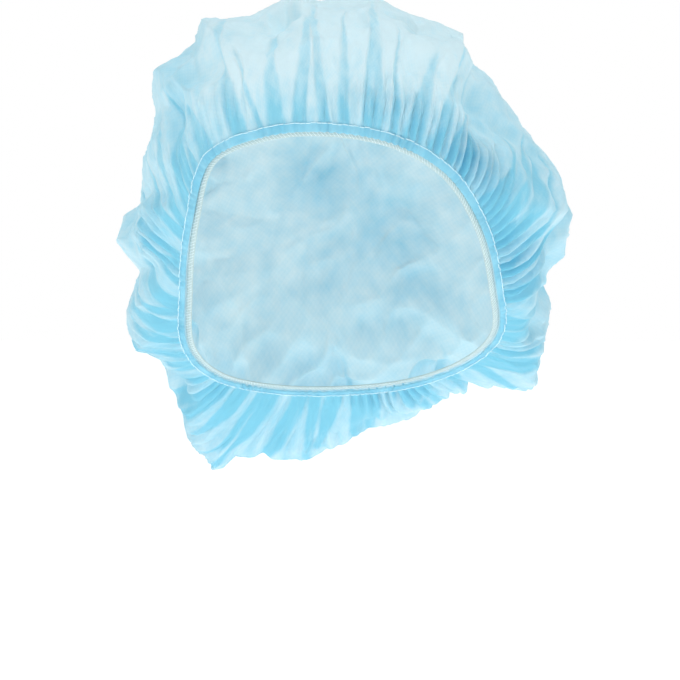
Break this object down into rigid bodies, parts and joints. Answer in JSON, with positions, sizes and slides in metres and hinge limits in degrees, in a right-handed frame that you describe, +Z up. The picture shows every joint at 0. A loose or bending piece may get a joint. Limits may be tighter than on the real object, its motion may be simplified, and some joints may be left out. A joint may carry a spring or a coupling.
{
  "type": "disposable hairnet",
  "caption": "Puffed cap of thin blue nonwoven cloth, gathered on an elastic edge, open at the face and neck.",
  "frame": {"origin": "the point inside the crown that sits on the top of the wearer's head", "axes": "+Z up, out of the top of the head; -Y out of the face opening; +X to the right as the face is seen from the front"},
  "size_m": [0.2124, 0.2347, 0.2253],
  "materials": {
    "nonwoven_cloth": "thin pale blue spunbond cloth, matt with a faint sheen, light shows through it",
    "hem_cloth": "the same blue cloth folded double, so a little deeper in colour",
    "elastic": "whitish covered elastic with a faint green tint"
  },
  "bodies": {
    "root": {"crown": "nonwoven_cloth", "hem": "hem_cloth", "elastic_band": "elastic"}
  },
  "joints": []
}
